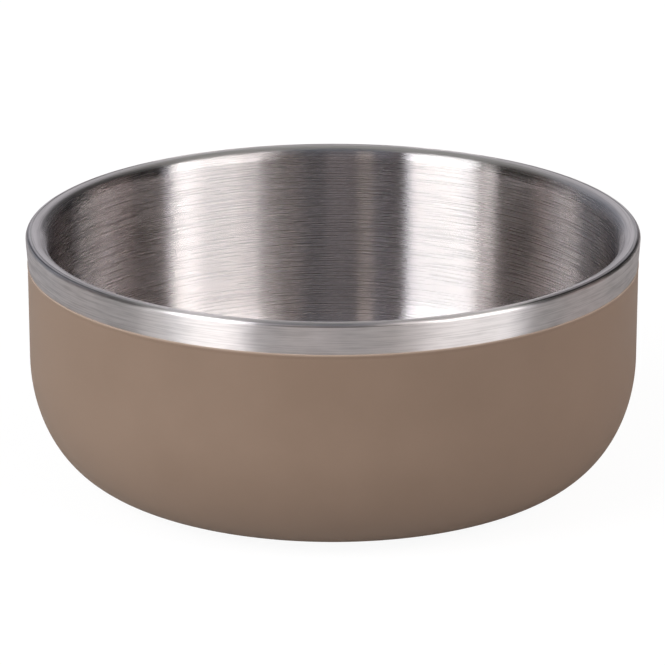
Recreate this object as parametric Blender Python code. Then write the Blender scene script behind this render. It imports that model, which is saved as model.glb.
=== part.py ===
# Double-wall steel pet bowl. A drawn inner bowl meets a drawn outer shell edge to edge on top
# of the rim, where a ring of weld closes the seam, and a rubber ring is bonded into the base.
# Metres, +Z up, standing on z = 0 with its axis on Z. Every piece is turned about that axis.

import math

import bmesh
import bpy
from mathutils import Matrix, Vector

# Overall sizes
RIM_RADIUS = 0.105  # outer edge of the rim
HEIGHT = 0.0862  # table to rim top
INNER_SHEET = 0.0008  # wall thickness of the inner bowl
OUTER_SHEET = 0.0008  # wall thickness of the outer shell, without its coat
WALL_GAP = 0.0049  # air between the two upright walls
FLOOR_GAP = 0.003  # air between the inner floor and the base channel
CORNER_GAP = 0.0045  # air between the inner bowl's corner and the shell's lower curve

# Rim
LIP_ROLL = 0.005  # inner bowl's lip, rolling from the rim's top down into the bowl
SHELL_LIP = 0.0016  # outer shell's edge, turned in over the rim's top
RIM_EDGE = 0.0015  # rounding of the rim's outer edge
EDGE_DEPTH = 0.0021  # upright side under the rim's top, above the flare
BAND_FLARE = 0.0006  # bare band leaning out to the rim
WELD_WIDTH = 0.0004
WELD_RECESS = 0.0001  # weld ground below the rim's top

# Outer shell
BAND_HEIGHT = 0.0104  # bare steel, from the rim top down to the coat's edge
COAT = 0.0001  # powder coat on the outside
LOWER_RISE = 0.0398  # height of the lower curve, a quarter ellipse
BASE_MARGIN = 0.0072  # flat base from the foot ring out to the lower curve
BASE_BEND = 0.001  # bends of the pressed base

# Foot ring and its channel
FOOT_RADIUS = 0.070  # outer side of the rubber ring
FOOT_WIDTH = 0.012
FOOT_DROP = 0.0025  # ring standing proud of the base
FOOT_EDGE = 0.0008  # rounding of the ring's lower edges
CHANNEL_DEPTH = 0.0015
CHANNEL_DRAFT = 0.0005  # lean of the channel's sides
CHANNEL_CLEARANCE = 0.0003  # ring to each side of the channel's top
BOND = 0.0002  # adhesive film above the ring
TREAD_COUNT = 2  # grip grooves under the ring
TREAD_WIDTH = 0.0012
TREAD_DEPTH = 0.0008

# Fineness of the facets
TURN_STEPS = 60
CURVE_STEPS = 10  # along the lower curve
ARC_ERROR = 0.00009  # facets of a bend stray from its true arc by no more
BEND_ROOM = 0.98  # share of a run that the bends at its two ends may take up
SAME_POINT = 0.000001  # points closer than this are one
SHARP_EDGE = math.radians(40)  # edges that turn more than this stay crisp

# Places that the sizes above settle
WALL_RADIUS = RIM_RADIUS - BAND_FLARE  # shell's upright wall, without its coat
INNER_RADIUS = WALL_RADIUS - OUTER_SHEET - WALL_GAP - INNER_SHEET
SEAM_OUTER = RIM_RADIUS - SHELL_LIP
SEAM_INNER = SEAM_OUTER - WELD_WIDTH
COAT_EDGE = HEIGHT - BAND_HEIGHT
BASE_RADIUS = FOOT_RADIUS + BASE_MARGIN
LOWER_RUN = WALL_RADIUS - BASE_RADIUS  # how far the lower curve draws in
BOWL_CORNER = LOWER_RUN - OUTER_SHEET - CORNER_GAP - INNER_SHEET  # inner wall into the inner floor
STEEL_BASE = FOOT_DROP + COAT
CHANNEL_TOP = FOOT_DROP + CHANNEL_DEPTH
CHANNEL_OUTER = FOOT_RADIUS + CHANNEL_CLEARANCE
CHANNEL_INNER = FOOT_RADIUS - FOOT_WIDTH - CHANNEL_CLEARANCE
INNER_FLOOR = CHANNEL_TOP + COAT + OUTER_SHEET + FLOOR_GAP + INNER_SHEET


def arc_steps(radius, turn):
    """Facets that keep an arc within the error allowed."""
    if radius <= ARC_ERROR:
        return 1
    return max(2, math.ceil(abs(turn) / (2 * math.acos(1 - ARC_ERROR / radius))))


def parallel(path, distance):
    """The path moved to its left by distance, each corner's bend growing or shrinking with it.

    A path is a list of corners (r, z, bend), where bend is the radius that rounds the corner.
    """
    points = [Vector((r, z)) for r, z, _ in path]
    runs = [(b - a).normalized() for a, b in zip(points, points[1:])]
    moved = []
    for i, (point, (_, _, bend)) in enumerate(zip(points, path)):
        before = runs[max(i - 1, 0)]
        after = runs[min(i, len(runs) - 1)]
        left = Vector((-before.y, before.x)) + Vector((-after.y, after.x))
        shift = left * (2 * distance / left.length_squared)
        turn = before.x * after.y - before.y * after.x
        new_bend = max(bend - distance * math.copysign(1, turn), 0) if bend else 0
        moved.append((point.x + shift.x, point.y + shift.y, new_bend))
    return moved


def rounded(path):
    """The path's points (r, z) with each bend drawn as an arc, smaller where its runs are too short."""
    points = [Vector((r, z)) for r, z, _ in path]
    turns = [0] * len(path)
    wanted = [0] * len(path)
    for i in range(1, len(path) - 1):
        turns[i] = (points[i] - points[i - 1]).angle_signed(points[i + 1] - points[i])
        wanted[i] = path[i][2] * math.tan(abs(turns[i]) / 2)
    fits = []
    for a, b, want_a, want_b in zip(points, points[1:], wanted, wanted[1:]):
        both = want_a + want_b
        fits.append(min(1, BEND_ROOM * (b - a).length / both) if both else 1)
    drawn = []
    for i, (_, _, bend) in enumerate(path):
        if not bend:
            drawn.append(points[i])
            continue
        radius = bend * min(fits[i - 1], fits[i])
        back = (points[i - 1] - points[i]).normalized()
        onward = (points[i + 1] - points[i]).normalized()
        inwards = (back + onward).normalized()
        centre = points[i] + inwards * (radius / math.cos(turns[i] / 2))
        start = points[i] + back * (radius * math.tan(abs(turns[i]) / 2)) - centre
        steps = arc_steps(radius, turns[i])
        for step in range(steps + 1):
            drawn.append(centre + Matrix.Rotation(-turns[i] * step / steps, 2) @ start)
    return [(point.x, point.y) for point in drawn]


def material(name, colour, roughness, metallic):
    made = bpy.data.materials.new(name)
    made.use_nodes = True
    shader = made.node_tree.nodes["Principled BSDF"]
    shader.inputs["Base Color"].default_value = (*colour, 1)
    shader.inputs["Roughness"].default_value = roughness
    shader.inputs["Metallic"].default_value = metallic
    made.diffuse_color = (*colour, 1)
    return made


def turned(name, outlines, materials):
    """One object from outlines spun about Z, each outline in the material of the same place."""
    solid = bmesh.new()
    for index, outline in enumerate(outlines):
        corners = [solid.verts.new((r, 0, z)) for r, z in outline]
        edges = [solid.edges.new(pair) for pair in zip(corners, corners[1:])]
        old_faces = set(solid.faces)
        bmesh.ops.spin(
            solid,
            geom=corners + edges,
            axis=(0, 0, 1),
            cent=(0, 0, 0),
            angle=2 * math.pi,
            steps=TURN_STEPS,
            use_merge=True,
        )
        for face in set(solid.faces) - old_faces:
            face.material_index = index
    bmesh.ops.remove_doubles(solid, verts=solid.verts, dist=SAME_POINT)
    bmesh.ops.recalc_face_normals(solid, faces=solid.faces)
    mesh = bpy.data.meshes.new(name)
    solid.to_mesh(mesh)
    solid.free()
    for each in materials:
        mesh.materials.append(each)
    mesh.shade_smooth()
    mesh.set_sharp_from_angle(angle=SHARP_EDGE)
    piece = bpy.data.objects.new(name, mesh)
    bpy.context.scene.collection.objects.link(piece)
    return piece


def inner_bowl(steel):
    """Floor, corner, upright wall and rolled lip, all one sheet, ending at the seam."""
    roll = min(LIP_ROLL, BEND_ROOM * (SEAM_INNER - INNER_RADIUS))
    upper_face = [
        (0, INNER_FLOOR, 0),
        (INNER_RADIUS, INNER_FLOOR, BOWL_CORNER),
        (INNER_RADIUS, HEIGHT, roll),
        (SEAM_INNER, HEIGHT, 0),
    ]
    lower_face = parallel(upper_face, -INNER_SHEET)
    return turned("inner_bowl", [rounded(upper_face) + rounded(lower_face)[::-1]], [steel])


def rim_outside():
    """The shell's bare steel, from the seam over the rounded edge and down the flare to the coat."""
    return [
        (SEAM_OUTER, HEIGHT, 0),
        (RIM_RADIUS, HEIGHT, RIM_EDGE),
        (RIM_RADIUS, HEIGHT - EDGE_DEPTH, 0),
    ]


def body_outside():
    """The shell's outside under its coat, from the coat's edge down to the middle of the base."""
    centre_z = STEEL_BASE + LOWER_RISE
    path = [(WALL_RADIUS, COAT_EDGE, 0)]
    for step in range(CURVE_STEPS + 1):
        angle = math.pi / 2 * step / CURVE_STEPS
        r = BASE_RADIUS + LOWER_RUN * math.cos(angle)
        z = centre_z - LOWER_RISE * math.sin(angle)
        path.append((r, z, 0))
    channel_top = CHANNEL_TOP + COAT
    path += [
        (CHANNEL_OUTER + CHANNEL_DRAFT, STEEL_BASE, BASE_BEND + OUTER_SHEET),
        (CHANNEL_OUTER, channel_top, BASE_BEND),
        (CHANNEL_INNER, channel_top, BASE_BEND),
        (CHANNEL_INNER - CHANNEL_DRAFT, STEEL_BASE, BASE_BEND + OUTER_SHEET),
        (0, STEEL_BASE, 0),
    ]
    return path


def outer_shell(coat, steel):
    """A drawn cup, coated outside from the band's lower edge down and bare everywhere else."""
    rim = rim_outside()
    body = body_outside()
    inside = rounded(parallel(rim + body, -OUTER_SHEET))[::-1]
    coated = rounded(parallel(body, COAT))
    coated_radius = coated[0][0]
    coated[0] = (coated_radius, COAT_EDGE - COAT)
    coat_lip = [(WALL_RADIUS, COAT_EDGE)]
    bare = inside + rounded(rim) + coat_lip
    return turned("outer_shell", [coat_lip + coated, bare], [coat, steel])


def rim_weld(steel):
    """A ring that fills the seam between the two sheets' edges, ground a little below their top."""
    top = HEIGHT - WELD_RECESS
    bottom = HEIGHT - min(INNER_SHEET, OUTER_SHEET)
    corners = [(SEAM_OUTER, top), (SEAM_INNER, top), (SEAM_INNER, bottom), (SEAM_OUTER, bottom)]
    return turned("rim_weld", [corners + corners[:1]], [steel])


def foot_ring(rubber):
    """A flat ring with rounded lower edges and round grip grooves in its underside."""
    top = CHANNEL_TOP - BOND
    inner = FOOT_RADIUS - FOOT_WIDTH
    seam = (FOOT_RADIUS - FOOT_WIDTH / 2, top, 0)
    path = [seam, (FOOT_RADIUS, top, BASE_BEND), (FOOT_RADIUS, 0, FOOT_EDGE)]
    pitch = FOOT_WIDTH / (TREAD_COUNT + 1)
    for index in range(TREAD_COUNT):
        middle = FOOT_RADIUS - pitch * (index + 1)
        path += [
            (middle + TREAD_WIDTH / 2, 0, 0),
            (middle + TREAD_WIDTH / 4, TREAD_DEPTH, 0),
            (middle - TREAD_WIDTH / 4, TREAD_DEPTH, 0),
            (middle - TREAD_WIDTH / 2, 0, 0),
        ]
    path += [(inner, 0, FOOT_EDGE), (inner, top, BASE_BEND), seam]
    return turned("foot_ring", [rounded(path)], [rubber])


def foot_bond(adhesive):
    """The film between the ring's flat top and the channel."""
    outer = FOOT_RADIUS - BASE_BEND
    inner = FOOT_RADIUS - FOOT_WIDTH + BASE_BEND
    low = CHANNEL_TOP - BOND
    corners = [(outer, CHANNEL_TOP), (outer, low), (inner, low), (inner, CHANNEL_TOP)]
    return turned("foot_bond", [corners + corners[:1]], [adhesive])


def main():
    for old in list(bpy.data.objects):
        bpy.data.objects.remove(old)
    brushed_steel = material("brushed_steel", (0.56, 0.54, 0.53), 0.3, 1.0)
    weld_steel = material("weld_steel", (0.33, 0.31, 0.30), 0.45, 1.0)
    shell_steel = material("shell_steel", (0.55, 0.53, 0.52), 0.32, 1.0)
    taupe_coat = material("taupe_coat", (0.25, 0.18, 0.135), 0.45, 0.0)
    black_rubber = material("black_rubber", (0.025, 0.024, 0.023), 0.8, 0.0)
    clear_adhesive = material("clear_adhesive", (0.55, 0.5, 0.4), 0.5, 0.0)
    pieces = [
        inner_bowl(brushed_steel),
        outer_shell(taupe_coat, shell_steel),
        rim_weld(weld_steel),
        foot_ring(black_rubber),
        foot_bond(clear_adhesive),
    ]
    bowl = bpy.data.objects.new("pet_bowl", None)
    bpy.context.scene.collection.objects.link(bowl)
    for piece in pieces:
        piece.parent = bowl


main()
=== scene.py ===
import math

import bmesh
import bpy
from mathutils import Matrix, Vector


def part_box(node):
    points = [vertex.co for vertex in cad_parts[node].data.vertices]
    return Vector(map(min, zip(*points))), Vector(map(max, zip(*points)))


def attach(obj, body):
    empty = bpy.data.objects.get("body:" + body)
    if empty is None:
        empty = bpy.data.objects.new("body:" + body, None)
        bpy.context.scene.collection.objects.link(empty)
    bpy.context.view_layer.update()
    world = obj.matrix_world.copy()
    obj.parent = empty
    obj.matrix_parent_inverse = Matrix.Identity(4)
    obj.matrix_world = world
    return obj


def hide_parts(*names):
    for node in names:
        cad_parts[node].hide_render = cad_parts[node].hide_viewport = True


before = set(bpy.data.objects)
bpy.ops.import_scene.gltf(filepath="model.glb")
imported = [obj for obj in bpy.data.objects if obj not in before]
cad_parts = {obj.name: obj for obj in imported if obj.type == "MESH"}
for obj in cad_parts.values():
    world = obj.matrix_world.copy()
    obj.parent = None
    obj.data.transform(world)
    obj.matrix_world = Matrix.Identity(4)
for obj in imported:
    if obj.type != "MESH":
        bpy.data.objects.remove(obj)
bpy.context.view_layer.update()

print("frame loaded:", sorted(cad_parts))

linerLow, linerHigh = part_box("inner_bowl")
shellLow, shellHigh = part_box("outer_shell")
seamLow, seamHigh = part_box("rim_weld")
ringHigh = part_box("foot_ring")[1]
bondLow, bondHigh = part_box("foot_bond")

sheet = 0.0008  # steel of both walls
coatDepth = 0.0001  # powder coat on the shell
bandFlare = 0.0006  # the bare band leans out to the rim
rimRadius = shellHigh.x
rimTop = shellHigh.z
wallRadius = rimRadius - bandFlare
seamInner = linerHigh.x  # the liner's lip ends here, and the weld fills the seam to the shell's lip
seamOuter = seamHigh.x
axisRadius = 0.0000005  # a turned outline stops this short of the axis
mergeDistance = 0.000002  # points this close become one: on the axis and where the turn closes
crispAngle = math.radians(40)
wideSpan = 0.3, 0.7  # noise keeps to its middle, so this range of it is stretched to the full change
closeSpan = 0.35, 0.65  # a shorter range, for a stronger change


# small helpers

def addNode(tree, kind, **settings):
    node = tree.nodes.new(kind)
    for key, value in settings.items():
        setattr(node, key, value)
    return node


def plug(tree, source, target):
    tree.links.new(source, target)


def feed(tree, value, socket):  # a link where the value is a socket, and a constant otherwise
    if hasattr(value, "links"):
        plug(tree, value, socket)
    else:
        socket.default_value = value


def mathNode(tree, operation, first, second=None):
    node = addNode(tree, "ShaderNodeMath", operation=operation)
    for socket, value in zip(node.inputs, (first, second)):
        if value is not None:
            feed(tree, value, socket)
    return node.outputs[0]


def heightOf(tree, place):
    split = addNode(tree, "ShaderNodeSeparateXYZ")
    plug(tree, place, split.inputs[0])
    return split.outputs["Z"]


# turned pieces: one node tree rounds an outline's corners and turns it about Z

def makeTurnedTree():
    tree = bpy.data.node_groups.new("turnedPiece", "GeometryNodeTree")
    sockets = tree.interface
    sockets.new_socket("Outline", in_out="INPUT", socket_type="NodeSocketGeometry")
    sockets.new_socket("Turn Steps", in_out="INPUT", socket_type="NodeSocketInt")
    sockets.new_socket("Bend Steps", in_out="INPUT", socket_type="NodeSocketInt")
    sockets.new_socket("Finish", in_out="INPUT", socket_type="NodeSocketMaterial")
    sockets.new_socket("Piece", in_out="OUTPUT", socket_type="NodeSocketGeometry")
    given = addNode(tree, "NodeGroupInput").outputs
    result = addNode(tree, "NodeGroupOutput").inputs

    outline = addNode(tree, "GeometryNodeMeshToCurve")
    plug(tree, given["Outline"], outline.inputs["Mesh"])
    bend = addNode(tree, "GeometryNodeInputNamedAttribute", data_type="FLOAT")
    bend.inputs["Name"].default_value = "bend"
    fillet = addNode(tree, "GeometryNodeFilletCurve", mode="POLY")
    plug(tree, outline.outputs["Curve"], fillet.inputs["Curve"])
    plug(tree, given["Bend Steps"], fillet.inputs["Count"])
    plug(tree, bend.outputs["Attribute"], fillet.inputs["Radius"])
    fillet.inputs["Limit Radius"].default_value = True
    curve = fillet.outputs["Curve"]

    size = addNode(tree, "GeometryNodeAttributeDomainSize", component="CURVE")
    plug(tree, curve, size.inputs["Geometry"])
    points = size.outputs["Point Count"]
    grid = addNode(tree, "GeometryNodeMeshGrid")
    plug(tree, mathNode(tree, "ADD", given["Turn Steps"], 1), grid.inputs["Vertices X"])
    plug(tree, points, grid.inputs["Vertices Y"])

    index = addNode(tree, "GeometryNodeInputIndex").outputs["Index"]
    onOutline = mathNode(tree, "MODULO", index, points)
    turn = mathNode(tree, "FLOOR", mathNode(tree, "DIVIDE", mathNode(tree, "ADD", index, 0.5), points))
    angle = mathNode(tree, "MULTIPLY", mathNode(tree, "DIVIDE", turn, given["Turn Steps"]), math.tau)
    cosine = mathNode(tree, "COSINE", angle)
    sine = mathNode(tree, "SINE", angle)

    place = addNode(tree, "GeometryNodeSampleIndex", data_type="FLOAT_VECTOR", domain="POINT")
    plug(tree, curve, place.inputs["Geometry"])
    plug(tree, addNode(tree, "GeometryNodeInputPosition").outputs["Position"], place.inputs["Value"])
    plug(tree, onOutline, place.inputs["Index"])
    along = addNode(tree, "GeometryNodeSampleIndex", data_type="FLOAT", domain="POINT")
    plug(tree, curve, along.inputs["Geometry"])
    plug(tree, addNode(tree, "GeometryNodeSplineParameter").outputs["Length"], along.inputs["Value"])
    plug(tree, onOutline, along.inputs["Index"])
    split = addNode(tree, "ShaderNodeSeparateXYZ")
    plug(tree, place.outputs["Value"], split.inputs[0])

    turned = addNode(tree, "ShaderNodeCombineXYZ")
    plug(tree, mathNode(tree, "MULTIPLY", split.outputs["X"], cosine), turned.inputs["X"])
    plug(tree, mathNode(tree, "MULTIPLY", split.outputs["X"], sine), turned.inputs["Y"])
    plug(tree, split.outputs["Z"], turned.inputs["Z"])
    moved = addNode(tree, "GeometryNodeSetPosition")
    plug(tree, grid.outputs["Mesh"], moved.inputs["Geometry"])
    plug(tree, turned.outputs[0], moved.inputs["Position"])
    kept = addNode(tree, "GeometryNodeStoreNamedAttribute", data_type="FLOAT", domain="POINT")
    plug(tree, moved.outputs["Geometry"], kept.inputs["Geometry"])
    kept.inputs["Name"].default_value = "along"  # metres along the outline, for the brush lines
    plug(tree, along.outputs["Value"], kept.inputs["Value"])

    merged = addNode(tree, "GeometryNodeMergeByDistance")
    plug(tree, kept.outputs["Geometry"], merged.inputs["Geometry"])
    merged.inputs["Distance"].default_value = mergeDistance
    smooth = addNode(tree, "GeometryNodeSetShadeSmooth")
    plug(tree, merged.outputs["Geometry"], smooth.inputs["Geometry"])
    real = addNode(tree, "GeometryNodeRealizeInstances")
    plug(tree, smooth.outputs["Geometry"], real.inputs["Geometry"])
    finish = addNode(tree, "GeometryNodeSetMaterial")
    plug(tree, real.outputs["Geometry"], finish.inputs["Geometry"])
    plug(tree, given["Finish"], finish.inputs["Material"])
    plug(tree, finish.outputs["Geometry"], result["Piece"])
    return tree


turnedTree = makeTurnedTree()


def socketName(tree, label):
    for item in tree.interface.items_tree:
        if item.name == label and item.in_out == "INPUT":
            return item.identifier
    raise KeyError(label)


def turnPiece(name, outline, finish, turnSteps=360, bendSteps=10):
    flat = bpy.data.meshes.new(name + "Outline")
    points = [(max(r, axisRadius), 0, z) for r, z, bend in outline]
    flat.from_pydata(points, [(i, i + 1) for i in range(len(points) - 1)], [])
    bends = flat.attributes.new("bend", "FLOAT", "POINT")
    bends.data.foreach_set("value", [bend for r, z, bend in outline])
    drawn = bpy.data.objects.new(name + "Outline", flat)
    bpy.context.scene.collection.objects.link(drawn)
    modifier = drawn.modifiers.new("turn", "NODES")
    modifier.node_group = turnedTree
    values = {"Turn Steps": turnSteps, "Bend Steps": bendSteps, "Finish": finish}
    for label, value in values.items():
        modifier[socketName(turnedTree, label)] = value
    drawn.update_tag()
    bpy.context.view_layer.update()
    ready = drawn.evaluated_get(bpy.context.evaluated_depsgraph_get())
    mesh = bpy.data.meshes.new_from_object(ready)
    mesh.name = name
    drawn.modifiers.remove(modifier)
    bpy.data.objects.remove(drawn)
    bpy.data.meshes.remove(flat)
    whole = bmesh.new()
    whole.from_mesh(mesh)
    bmesh.ops.recalc_face_normals(whole, faces=whole.faces)
    if whole.calc_volume(signed=True) < 0:
        bmesh.ops.reverse_faces(whole, faces=whole.faces)
    whole.to_mesh(mesh)
    whole.free()
    mesh.set_sharp_from_angle(angle=crispAngle)
    piece = bpy.data.objects.new(name, mesh)
    bpy.context.scene.collection.objects.link(piece)
    print("turned", name, len(mesh.polygons), "faces")
    return piece


def beside(path, distance):  # the path moved to its left, corner bends growing or shrinking with it
    points = [Vector((r, z)) for r, z, bend in path]
    runs = [(b - a).normalized() for a, b in zip(points, points[1:])]
    moved = []
    for i, (r, z, bend) in enumerate(path):
        before = runs[max(i - 1, 0)]
        after = runs[min(i, len(runs) - 1)]
        left = Vector((-before.y, before.x)) + Vector((-after.y, after.x))
        shift = left * (2 * distance / left.length_squared)
        turn = math.copysign(1, before.x * after.y - before.y * after.x)
        moved.append((r + shift.x, z + shift.y, max(bend - distance * turn, 0) if bend else 0))
    return moved


# finishes

def newFinish(name):
    finish = bpy.data.materials.new(name)
    finish.use_nodes = True
    tree = finish.node_tree
    return finish, tree, tree.nodes["Principled BSDF"]


def emptyFinish(name):
    finish = bpy.data.materials.new(name)
    finish.use_nodes = True
    finish.node_tree.nodes.clear()
    return finish, finish.node_tree


def noiseAt(tree, vector, detail, rough=0.5):
    noise = addNode(tree, "ShaderNodeTexNoise", noise_dimensions="3D")
    plug(tree, vector, noise.inputs["Vector"])
    noise.inputs["Scale"].default_value = 1.0
    noise.inputs["Detail"].default_value = detail
    noise.inputs["Roughness"].default_value = rough
    return noise.outputs[0]


def spread(tree, value, low, high, toLow, toHigh):
    ramp = addNode(tree, "ShaderNodeMapRange", interpolation_type="SMOOTHSTEP")
    plug(tree, value, ramp.inputs["Value"])
    for label, number in zip(("From Min", "From Max", "To Min", "To Max"), (low, high, toLow, toHigh)):
        ramp.inputs[label].default_value = number
    return ramp.outputs["Result"]


def mixed(tree, factor, first, second):
    mix = addNode(tree, "ShaderNodeMix", data_type="FLOAT")
    plug(tree, factor, mix.inputs["Factor"])
    for socket, value in zip(mix.inputs[2:4], (first, second)):
        feed(tree, value, socket)
    return mix.outputs[0]


def tinted(tree, factor, dark, light):
    mix = addNode(tree, "ShaderNodeMix", data_type="RGBA")
    plug(tree, factor, mix.inputs["Factor"])
    for socket, colour in zip(mix.inputs[6:8], (dark, light)):
        feed(tree, colour if hasattr(colour, "links") else (*colour, 1), socket)
    return mix.outputs[2]


def bumped(tree, shader, relief, strength, depth):
    bump = addNode(tree, "ShaderNodeBump")
    bump.inputs["Strength"].default_value = strength
    bump.inputs["Distance"].default_value = depth
    plug(tree, relief, bump.inputs["Height"])
    plug(tree, bump.outputs["Normal"], shader.inputs["Normal"])


def scaled(tree, place, scale):
    node = addNode(tree, "ShaderNodeVectorMath", operation="SCALE")
    plug(tree, place, node.inputs[0])
    node.inputs["Scale"].default_value = scale
    return node.outputs[0]


def roundCoordinates(tree):
    place = addNode(tree, "ShaderNodeTexCoord").outputs["Object"]
    flat = addNode(tree, "ShaderNodeVectorMath", operation="MULTIPLY")
    plug(tree, place, flat.inputs[0])
    flat.inputs[1].default_value = (1, 1, 0)
    outward = addNode(tree, "ShaderNodeVectorMath", operation="NORMALIZE")
    plug(tree, flat.outputs[0], outward.inputs[0])
    return place, outward.outputs[0]


def brushVector(tree, outward, along, aroundScale, acrossScale):
    split = addNode(tree, "ShaderNodeSeparateXYZ")
    plug(tree, outward, split.inputs[0])
    joined = addNode(tree, "ShaderNodeCombineXYZ")
    plug(tree, mathNode(tree, "MULTIPLY", split.outputs["X"], aroundScale), joined.inputs["X"])
    plug(tree, mathNode(tree, "MULTIPLY", split.outputs["Y"], aroundScale), joined.inputs["Y"])
    plug(tree, mathNode(tree, "MULTIPLY", along, acrossScale), joined.inputs["Z"])
    return joined.outputs[0]


def sideAngle(tree, outward):  # radians from the front, right is plus
    split = addNode(tree, "ShaderNodeSeparateXYZ")
    plug(tree, outward, split.inputs[0])
    return mathNode(tree, "ARCTAN2", split.outputs["X"], mathNode(tree, "MULTIPLY", split.outputs["Y"], -1))


def between(tree, value, low, high, fade, depth):
    into = spread(tree, value, low - fade, low + fade, 0, depth)
    out = spread(tree, value, high - fade, high + fade, 1, 0)
    return mathNode(tree, "MULTIPLY", into, out)


def betweenSides(tree, side, start, end, fade, depth):
    return between(tree, side, math.radians(start), math.radians(end), math.radians(fade), depth)


# painted reflection: a mask of fine dark lines on the rim's edge, by height and side
def paintedEdgeReflections(tree, height, outward, look):
    side = sideAngle(tree, outward)
    dark = 0.0
    for low, high, start, end, fade, depth in look["paintedEdgeReflections"]:
        level = between(tree, height, low, high, look["lineFade"], 1)
        here = mathNode(tree, "MULTIPLY", level, betweenSides(tree, side, start, end, fade, depth))
        dark = mathNode(tree, "MAXIMUM", here, dark)
    return dark


brushing = {"detail": 1.0, "lineGrain": 0.6, "tintSpan": (0.32, 0.62)}


def brushedSteel(name, look):
    finish, tree = emptyFinish(name)
    shader = addNode(tree, "ShaderNodeBsdfAnisotropic", distribution="MULTI_GGX")
    plug(tree, shader.outputs[0], addNode(tree, "ShaderNodeOutputMaterial").inputs["Surface"])
    place, outward = roundCoordinates(tree)
    along = addNode(tree, "ShaderNodeAttribute", attribute_name="along").outputs["Fac"]
    height = heightOf(tree, place)
    onLines = brushVector(tree, outward, along, look["lineTurns"], look["linesPerMetre"])
    onDashes = brushVector(tree, outward, along, look["dashTurns"], look["dashesPerMetre"])
    lines = noiseAt(tree, onLines, brushing["detail"], brushing["lineGrain"])
    dashes = noiseAt(tree, onDashes, brushing["detail"])
    both = mathNode(tree, "ADD", mathNode(tree, "MULTIPLY", lines, 1 - look["dashShare"]),
                    mathNode(tree, "MULTIPLY", dashes, look["dashShare"]))
    colour = tinted(tree, spread(tree, both, *brushing["tintSpan"], 0, 1), look["dark"], look["light"])
    # painted reflection: the rim's edge is painted nearly black in thin lines, where it mirrors the dark room
    if "paintedEdgeReflections" in look:
        colour = tinted(tree, paintedEdgeReflections(tree, height, outward, look), colour, look["paintedReflectionColour"])
    plug(tree, colour, shader.inputs["Color"])
    rough = spread(tree, both, *wideSpan, look["roughHigh"], look["roughLow"])
    rim = look["polished"]  # the rim's top is ground smooth, so its finish is more even
    onRim = spread(tree, height, rim["start"], rim["end"], 0, 1)
    plug(tree, mixed(tree, onRim, look["anisotropy"], rim["anisotropy"]), shader.inputs["Anisotropy"])
    plug(tree, mixed(tree, onRim, rough, rim["rough"]), shader.inputs["Roughness"])
    bumped(tree, shader, both, look["bump"], look["bumpDepth"])
    tangent = addNode(tree, "ShaderNodeVectorMath", operation="CROSS_PRODUCT")
    tangent.inputs[0].default_value = (0, 0, 1)
    plug(tree, outward, tangent.inputs[1])
    plug(tree, tangent.outputs[0], shader.inputs["Tangent"])
    return finish


# inner bowl: floor, corner, wall, roll and flat lip in one brushed sheet

linerLook = {
    "corner": 0.021, "roll": 0.005, "wallGap": 0.0049,
    "dark": (0.66, 0.625, 0.622), "light": (0.81, 0.769, 0.766),
    "roughLow": 0.25, "roughHigh": 0.285, "anisotropy": 0.86,
    "lineTurns": 3, "linesPerMetre": 2600, "dashTurns": 7, "dashesPerMetre": 2400, "dashShare": 0.35,
    "bump": 1.0, "bumpDepth": 0.000025,
    "polished": {"start": 0.0846, "end": 0.0859, "rough": 0.36, "anisotropy": 0.2},
}


def makeLiner():
    look = linerLook
    wall = wallRadius - 2 * sheet - look["wallGap"]
    floor = linerLow.z + sheet
    upper = [
        (0, floor, 0), (wall, floor, look["corner"]),
        (wall, rimTop, look["roll"]), (seamInner, rimTop, 0),
    ]
    lower = beside(upper, -sheet)
    return turnPiece("innerBowl", upper + lower[::-1], brushedSteel("brushedInside", look), bendSteps=16)


# outer shell: a drawn steel cup, turned in over the rim's top and bare in a band under it

bandLook = {
    "edge": 0.0015, "edgeDepth": 0.0021, "bandHeight": 0.0104,
    "lowerRise": 0.0398, "curveSteps": 48, "baseRadius": 0.0772,
    "bend": 0.001, "channelTop": 0.0041, "channelOuter": 0.0703, "channelInner": 0.0577, "draft": 0.0005,
    "dark": (0.66, 0.625, 0.623), "light": (0.82, 0.779, 0.777),
    "roughLow": 0.34, "roughHigh": 0.38, "anisotropy": 0.72,
    "lineTurns": 5, "linesPerMetre": 2200, "dashTurns": 14, "dashesPerMetre": 600, "dashShare": 0.35,
    "bump": 1.0, "bumpDepth": 0.0001,
    "polished": {"start": 0.0842, "end": 0.0851, "rough": 0.36, "anisotropy": 0.6},
    "paintedReflectionColour": (0.03, 0.028, 0.027), "lineFade": 0.00004,
    # painted reflection: fine dark lines on the rim's edge stand in for the dark room mirrored there;
    # heights, degrees from the front (right is plus), fade and depth
    "paintedEdgeReflections": [
        (0.08594, 0.08611, 36, 82, 3, 0.8),
        (0.08592, 0.08612, -84, -42, 6, 0.55),
        (0.0851, 0.0854, -13, 16, 5, 0.5),
    ],
}

coatEdge = rimTop - bandLook["bandHeight"]


def rimOutside():
    edgeFoot = rimTop - bandLook["edgeDepth"]
    return [(seamOuter, rimTop, 0), (rimRadius, rimTop, bandLook["edge"]), (rimRadius, edgeFoot, 0)]


def bodyOutside():
    look = bandLook
    steelBase = shellLow.z + coatDepth
    path = [(wallRadius, coatEdge, 0)]
    for step in range(look["curveSteps"] + 1):
        angle = math.pi / 2 * step / look["curveSteps"]
        path.append((look["baseRadius"] + (wallRadius - look["baseRadius"]) * math.cos(angle),
                     steelBase + look["lowerRise"] * (1 - math.sin(angle)), 0))
    path += [
        (look["channelOuter"] + look["draft"], steelBase, look["bend"] + sheet),
        (look["channelOuter"], look["channelTop"], look["bend"]),
        (look["channelInner"], look["channelTop"], look["bend"]),
        (look["channelInner"] - look["draft"], steelBase, look["bend"] + sheet),
        (0, steelBase, 0),
    ]
    return path


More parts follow.
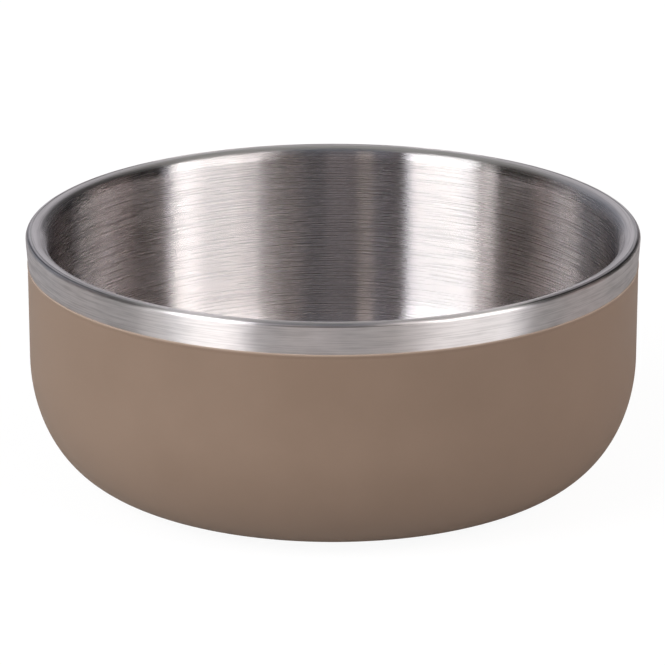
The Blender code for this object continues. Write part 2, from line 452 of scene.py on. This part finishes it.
def makeShellSteel():
    outside = rimOutside() + bodyOutside()
    inside = beside(outside, -sheet)
    return turnPiece("shellSteel", inside[::-1] + outside, brushedSteel("brushedBand", bandLook), bendSteps=8)


# powder coat: a thin skin on the shell, with a raised bead along its upper edge

coatLook = {
    "beadHeight": 0.0008, "beadProud": 0.00012, "beadTopBend": 0.0001, "beadBend": 0.0003,
    "colour": (0.226, 0.156, 0.1125), "mottle": (0.241, 0.168, 0.1225), "beadHighlightColour": (0.4, 0.31, 0.25),
    "roughLow": 0.5, "roughHigh": 0.56, "shine": 0.35, "bump": 0.1, "bumpDepth": 0.00004,
    "cloudScale": 45, "cloudDetail": 3.0, "cloudShare": 0.6,
    "peelScale": 1500, "peelDetail": 2.0, "speckScale": 6000, "speckDetail": 1.0,
}


def powderCoat(look):
    finish, tree, shader = newFinish("taupeCoat")
    place = addNode(tree, "ShaderNodeTexCoord").outputs["Object"]
    clouds = noiseAt(tree, scaled(tree, place, look["cloudScale"]), look["cloudDetail"])
    peel = noiseAt(tree, scaled(tree, place, look["peelScale"]), look["peelDetail"])
    specks = noiseAt(tree, scaled(tree, place, look["speckScale"]), look["speckDetail"])
    both = mathNode(tree, "ADD", mathNode(tree, "MULTIPLY", clouds, look["cloudShare"]),
                    mathNode(tree, "MULTIPLY", specks, 1 - look["cloudShare"]))
    body = tinted(tree, spread(tree, both, *closeSpan, 0, 1), look["colour"], look["mottle"])
    # painted highlight: the bead is paler, as where its top catches the light from above
    paintedBeadHighlight = spread(tree, heightOf(tree, place), coatEdge - look["beadHeight"], coatEdge, 0, 1)
    plug(tree, tinted(tree, paintedBeadHighlight, body, look["beadHighlightColour"]), shader.inputs["Base Color"])
    rough = spread(tree, clouds, *wideSpan, look["roughLow"], look["roughHigh"])
    plug(tree, rough, shader.inputs["Roughness"])
    shader.inputs["Specular IOR Level"].default_value = look["shine"]
    bumped(tree, shader, peel, look["bump"], look["bumpDepth"])
    return finish


def makeShellCoat():
    look = coatLook
    steel = bodyOutside()
    skin = beside(steel, coatDepth)
    top = skin[0][0]
    bead = top + look["beadProud"]
    skin = [
        (wallRadius, coatEdge, 0),
        (bead, coatEdge, look["beadTopBend"]),
        (bead, coatEdge - look["beadHeight"], look["beadBend"]),
        (top, coatEdge - 2 * look["beadHeight"], look["beadBend"]),
    ] + skin[1:]
    return turnPiece("shellCoat", steel[::-1] + skin, powderCoat(look), bendSteps=6)


# weld seam on the rim's top, between the two sheets

seamLook = {
    "dark": (0.03, 0.028, 0.027), "light": (0.6, 0.58, 0.575), "rough": 0.4, "roughSpread": 0.06,
    "fleckTurns": 40, "flecksPerMetre": 2000, "fleckDetail": 3.0,
    # the range of the flecks' noise, and what it is turned to
    "pits": (0.66, 0.74, 0, 0.7),
    "bridges": (0.68, 0.72, 0, 0.8),  # of weld, across the open seam
    # painted shade: stretches where the seam is painted nearly black, as shade in an open gap; degrees from
    # the front (right is plus), fade and depth
    "paintedGapShade": [(38, 80, 3, 0.25), (-78, -38, 9, 0.2), (118, 150, 8, 0.3), (-160, -125, 8, 0.3)],
}


def weldSeam(look):
    finish, tree, shader = newFinish("weldSeam")
    outward = roundCoordinates(tree)[1]
    along = addNode(tree, "ShaderNodeAttribute", attribute_name="along").outputs["Fac"]
    onFlecks = brushVector(tree, outward, along, look["fleckTurns"], look["flecksPerMetre"])
    flecks = noiseAt(tree, onFlecks, look["fleckDetail"])
    side = sideAngle(tree, outward)
    dark = spread(tree, flecks, *look["pits"])
    # painted shade of an open gap, at the listed sides
    for gap in look["paintedGapShade"]:
        dark = mathNode(tree, "MAXIMUM", dark, betweenSides(tree, side, *gap))
    closed = spread(tree, flecks, *look["bridges"])
    dark = mathNode(tree, "MULTIPLY", dark, mathNode(tree, "SUBTRACT", 1.0, closed))
    plug(tree, tinted(tree, dark, look["light"], look["dark"]), shader.inputs["Base Color"])
    high, low = look["rough"] + look["roughSpread"], look["rough"] - look["roughSpread"]
    plug(tree, spread(tree, flecks, *wideSpan, high, low), shader.inputs["Roughness"])
    shader.inputs["Metallic"].default_value = 1.0
    return finish


def makeSeam():
    top, bottom = seamHigh.z, seamLow.z
    corners = [(seamOuter, top, 0), (seamInner, top, 0), (seamInner, bottom, 0), (seamOuter, bottom, 0)]
    return turnPiece("rimSeam", corners + corners[:1], weldSeam(seamLook))


# rubber foot ring and its adhesive film

footLook = {
    "width": 0.012, "edge": 0.0008, "topBend": 0.001,
    "grooves": 2, "grooveWidth": 0.0012, "grooveDepth": 0.0008,
    "dark": (0.018, 0.017, 0.016), "light": (0.034, 0.032, 0.03), "rough": 0.72, "grainScale": 2600,
    "filmDark": (0.5, 0.45, 0.35), "filmLight": (0.6, 0.56, 0.46), "filmRough": 0.45, "filmScale": 400,
    "grainDetail": 3.0, "roughSpread": 0.06, "bump": 0.3, "bumpDepth": 0.00005,
}


def grained(name, dark, light, rough, scale):
    look = footLook
    finish, tree, shader = newFinish(name)
    place = addNode(tree, "ShaderNodeTexCoord").outputs["Object"]
    grain = noiseAt(tree, scaled(tree, place, scale), look["grainDetail"])
    plug(tree, tinted(tree, spread(tree, grain, *closeSpan, 0, 1), dark, light), shader.inputs["Base Color"])
    low, high = rough - look["roughSpread"], rough + look["roughSpread"]
    plug(tree, spread(tree, grain, *wideSpan, low, high), shader.inputs["Roughness"])
    bumped(tree, shader, grain, look["bump"], look["bumpDepth"])
    return finish


def makeFootRing():
    look = footLook
    outer = ringHigh.x
    inner = outer - look["width"]
    top = ringHigh.z
    middle = ((outer + inner) / 2, top, 0)
    path = [middle, (outer, top, look["topBend"]), (outer, 0, look["edge"])]
    for index in range(look["grooves"]):
        centre = outer - look["width"] / (look["grooves"] + 1) * (index + 1)
        half = look["grooveWidth"] / 2
        depth = look["grooveDepth"]
        path += [
            (centre + half, 0, 0), (centre + half / 2, depth, 0),
            (centre - half / 2, depth, 0), (centre - half, 0, 0),
        ]
    path += [(inner, 0, look["edge"]), (inner, top, look["topBend"]), middle]
    rubber = grained("mouldedRubber", look["dark"], look["light"], look["rough"], look["grainScale"])
    return turnPiece("footRing", path, rubber, bendSteps=6)


def makeFootFilm():
    look = footLook
    outer = bondHigh.x
    inner = outer - look["width"] + 2 * look["topBend"]
    corners = [(outer, bondHigh.z, 0), (outer, bondLow.z, 0), (inner, bondLow.z, 0), (inner, bondHigh.z, 0)]
    film = grained("curedFilm", look["filmDark"], look["filmLight"], look["filmRough"], look["filmScale"])
    return turnPiece("footFilm", corners + corners[:1], film)


def fitPiece(piece, node):
    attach(piece, "root")
    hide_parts(node)


fitPiece(makeLiner(), "inner_bowl")
fitPiece(makeShellSteel(), "outer_shell")
fitPiece(makeShellCoat(), "outer_shell")
fitPiece(makeSeam(), "rim_weld")
fitPiece(makeFootRing(), "foot_ring")
fitPiece(makeFootFilm(), "foot_bond")
print("pieces fitted")


# studio: soft panels, and a floor and a dim room that are white to the camera

studio = {
    "floorSize": 16.0, "floorColour": (0.6, 0.6, 0.6), "seenColour": (0.1, 0.1, 0.1),
    "seenGlow": 0.93, "metalGlow": 0.01, "room": (0.01, 0.01, 0.01), "seenRoom": (1, 1, 1),
    "panelDistance": 4.0, "ceilingHeight": 4.0,
    # name: azimuths from the camera's side (right is plus), lifts from the floor, radiance, colour
    "panels": {
        "keyLeft": (-66, -37, 24, 44, 8.4, (0.95, 0.98, 1)),
        "keyLeftEdge": (-37, -33, 24, 44, 7.0, (0.92, 0.94, 1)),
        "keyLeftFar": (-72, -66, 3, 44, 1.65, (1, 0.98, 0.98)),
        "keyLeftLow": (-54, -33, 3, 24, 1.9, (1, 0.9, 0.82)),
        "frontSlit": (-18, -11, 24, 44, 1.1, (1, 0.84, 0.72)),
        "front": (-11, 20, 24, 44, 0.26, (1, 0.8, 0.7)),
        "frontLow": (-11, 3, 3, 24, 0.34, (1, 0.83, 0.83)),
        "keyRightEdge": (34, 40, 24, 66, 5.2, (1, 0.98, 1)),
        "keyRight": (40, 68, 24, 44, 6.3, (1, 0.98, 0.97)),
        "keyRightFar": (68, 75, 24, 44, 8.0, (1, 1, 0.96)),
        "keyRightLow": (40, 62, 3, 24, 0.66, (0.92, 0.98, 1)),
        "keyRightLowFar": (62, 75, 3, 24, 1.3, (0.88, 0.9, 1)),
        "sideRight": (92, 117, 3, 24, 0.3, (1, 0.75, 0.7)),
        "sideLeft": (-117, -92, 3, 24, 0.15, (1, 0.75, 0.7)),
        "back": (166, 194, 3, 40, 0.6, (0.94, 0.94, 1)),
        "backLeft": (-166, -119, 3, 44, 0.24, (0.8, 0.86, 1)),
    },
    # name: left and right, near and far, radiance, colour
    "ceilings": {
        "ceilingFrontLeft": (-4, -1.3, -6, -2.5, 0.44, (1, 0.87, 0.92)),
        "ceilingFrontRight": (1.3, 4, -6, -2.5, 0.6, (1, 0.8, 0.65)),
        "ceilingFront": (-1.3, 1.3, -2.5, -1, 0.48, (0.6, 0.75, 1)),
        "ceilingBack": (-1.6, 1.6, 0.5, 5, 0.3, (0.98, 1, 0.95)),
        "ceilingBackLeft": (-4, -1.6, 1, 6, 0.15, (0.95, 0.93, 0.9)),
    },
    # as panels, but not mirrored in the metal: they even out the coat
    "fills": {
        "fillLeft": (-100, -50, 3, 60, 2.4, (1, 1, 1)),
        "fillRight": (85, 135, 3, 60, 1.0, (1, 0.8, 0.7)),
    },
}


def makeFloor():
    half = studio["floorSize"] / 2
    mesh = bpy.data.meshes.new("floor")
    corners = [(-half, -half, 0), (half, -half, 0), (half, half, 0), (-half, half, 0)]
    mesh.from_pydata(corners, [], [(0, 1, 2, 3)])
    floor = bpy.data.objects.new("floor", mesh)
    bpy.context.scene.collection.objects.link(floor)
    finish, tree = emptyFinish("paleFloor")
    path = addNode(tree, "ShaderNodeLightPath").outputs
    inMetal = mathNode(tree, "MAXIMUM", path["Is Glossy Ray"], path["Is Transmission Ray"])
    paper = addNode(tree, "ShaderNodeBsdfDiffuse")
    seen = path["Is Camera Ray"]
    plug(tree, tinted(tree, seen, studio["floorColour"], studio["seenColour"]), paper.inputs["Color"])
    glow = addNode(tree, "ShaderNodeEmission")
    plug(tree, mathNode(tree, "ADD", mathNode(tree, "MULTIPLY", seen, studio["seenGlow"]),
                        mathNode(tree, "MULTIPLY", inMetal, studio["metalGlow"])), glow.inputs["Strength"])
    both = addNode(tree, "ShaderNodeAddShader")  # the glow is nearly white, and the paper keeps the shadow
    plug(tree, paper.outputs[0], both.inputs[0])
    plug(tree, glow.outputs[0], both.inputs[1])
    plug(tree, both.outputs[0], addNode(tree, "ShaderNodeOutputMaterial").inputs["Surface"])
    mesh.materials.append(finish)


def makeLamp(name, width, height, radiance, colour):
    lamp = bpy.data.lights.new(name, "AREA")
    lamp.shape = "RECTANGLE"
    lamp.size = width
    lamp.size_y = height
    lamp.color = colour
    lamp.energy = radiance * math.pi * width * height
    panel = bpy.data.objects.new(name, lamp)
    panel.visible_camera = False
    bpy.context.scene.collection.objects.link(panel)
    return panel


def makePanel(name, fromSide, toSide, fromLift, toLift, radiance, colour):
    distance = studio["panelDistance"]
    low = distance * math.tan(math.radians(fromLift))
    high = distance * math.tan(math.radians(toLift))
    width = 2 * distance * math.tan(math.radians(toSide - fromSide) / 2)
    panel = makeLamp(name, width, high - low, radiance, colour)
    turn = math.radians(fromSide + toSide) / 2
    panel.location = (distance * math.sin(turn), -distance * math.cos(turn), (low + high) / 2)
    panel.rotation_euler = (math.radians(90), 0, turn)
    return panel


def makeCeiling(name, left, right, near, far, radiance, colour):
    panel = makeLamp(name, right - left, far - near, radiance, colour)
    panel.location = ((left + right) / 2, (near + far) / 2, studio["ceilingHeight"])


def makeStudio():
    makeFloor()
    for name, values in studio["panels"].items():
        makePanel(name, *values)
    for name, values in studio["ceilings"].items():
        makeCeiling(name, *values)
    for name, values in studio["fills"].items():
        makePanel(name, *values).visible_glossy = False
    room = bpy.data.worlds.new("room")
    room.use_nodes = True
    tree = room.node_tree
    seen = addNode(tree, "ShaderNodeLightPath").outputs["Is Camera Ray"]
    colour = tinted(tree, seen, studio["room"], studio["seenRoom"])
    plug(tree, colour, tree.nodes["Background"].inputs["Color"])
    bpy.context.scene.world = room
    bpy.context.scene.view_settings.view_transform = "Standard"
    print("studio ready")


# camera, fitted to the photograph's outline

cameraView = {"distance": 1.365, "elevation": 18.86, "focalPixels": 3949, "imagePixels": 665,
              "centreX": 333.1, "centreY": 346.2, "sensorWidth": 36.0, "clipEnd": 100.0}


def makeCamera():
    view = cameraView
    lens = bpy.data.cameras.new("camera")
    lens.sensor_width = view["sensorWidth"]
    lens.lens = view["focalPixels"] / view["imagePixels"] * lens.sensor_width
    lens.clip_end = view["clipEnd"]
    camera = bpy.data.objects.new("camera", lens)
    lift = math.radians(view["elevation"])
    camera.location = (0, -view["distance"] * math.cos(lift), rimTop / 2 + view["distance"] * math.sin(lift))
    middle = view["imagePixels"] / 2
    tip = math.atan((view["centreY"] - middle) / view["focalPixels"])
    swing = math.atan((view["centreX"] - middle) / view["focalPixels"])
    camera.rotation_euler = (math.pi / 2 - lift + tip, 0, swing)
    bpy.context.scene.collection.objects.link(camera)
    bpy.context.scene.camera = camera
    print("camera placed")


makeStudio()
makeCamera()
